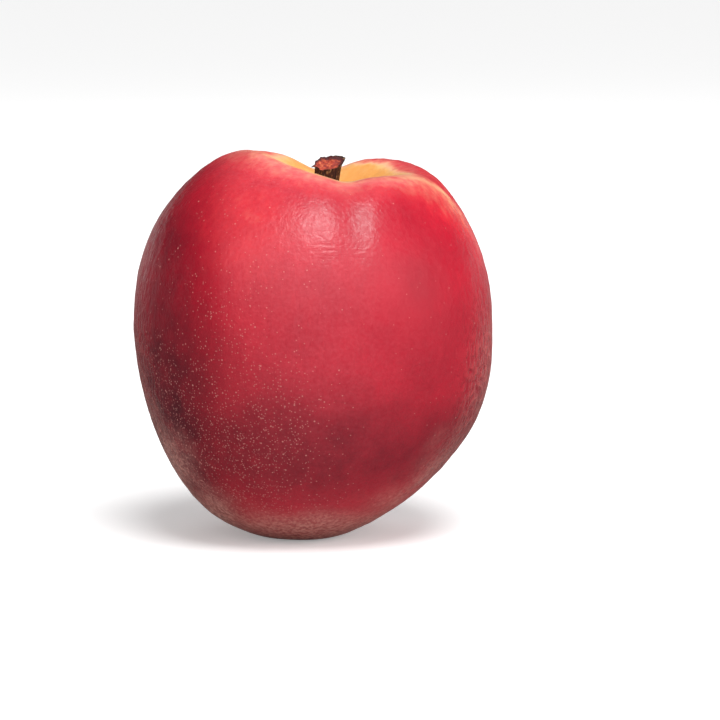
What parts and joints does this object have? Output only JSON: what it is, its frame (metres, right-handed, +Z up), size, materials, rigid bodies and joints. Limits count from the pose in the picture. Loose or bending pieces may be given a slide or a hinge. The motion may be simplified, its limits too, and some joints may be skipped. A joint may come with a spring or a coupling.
{
  "type": "nectarine",
  "caption": "Whole ripe nectarine with a broken stub of stalk in the cavity at its top; it stands on a small flat spot.",
  "frame": {"origin": "middle of the small flat spot that the fruit stands on", "axes": "+Z up, against the outward normal of the flat spot; -Y towards the front, where the suture runs down; +X to the right seen from the front"},
  "size_m": [0.0705, 0.068, 0.0761],
  "materials": {
    "skin": "waxy semi-matte fruit skin, crimson over yellow-orange",
    "stalk_wood": "dry, rough and split"
  },
  "bodies": {
    "root": {"fruit": "skin", "stalk": "stalk_wood"}
  },
  "joints": []
}
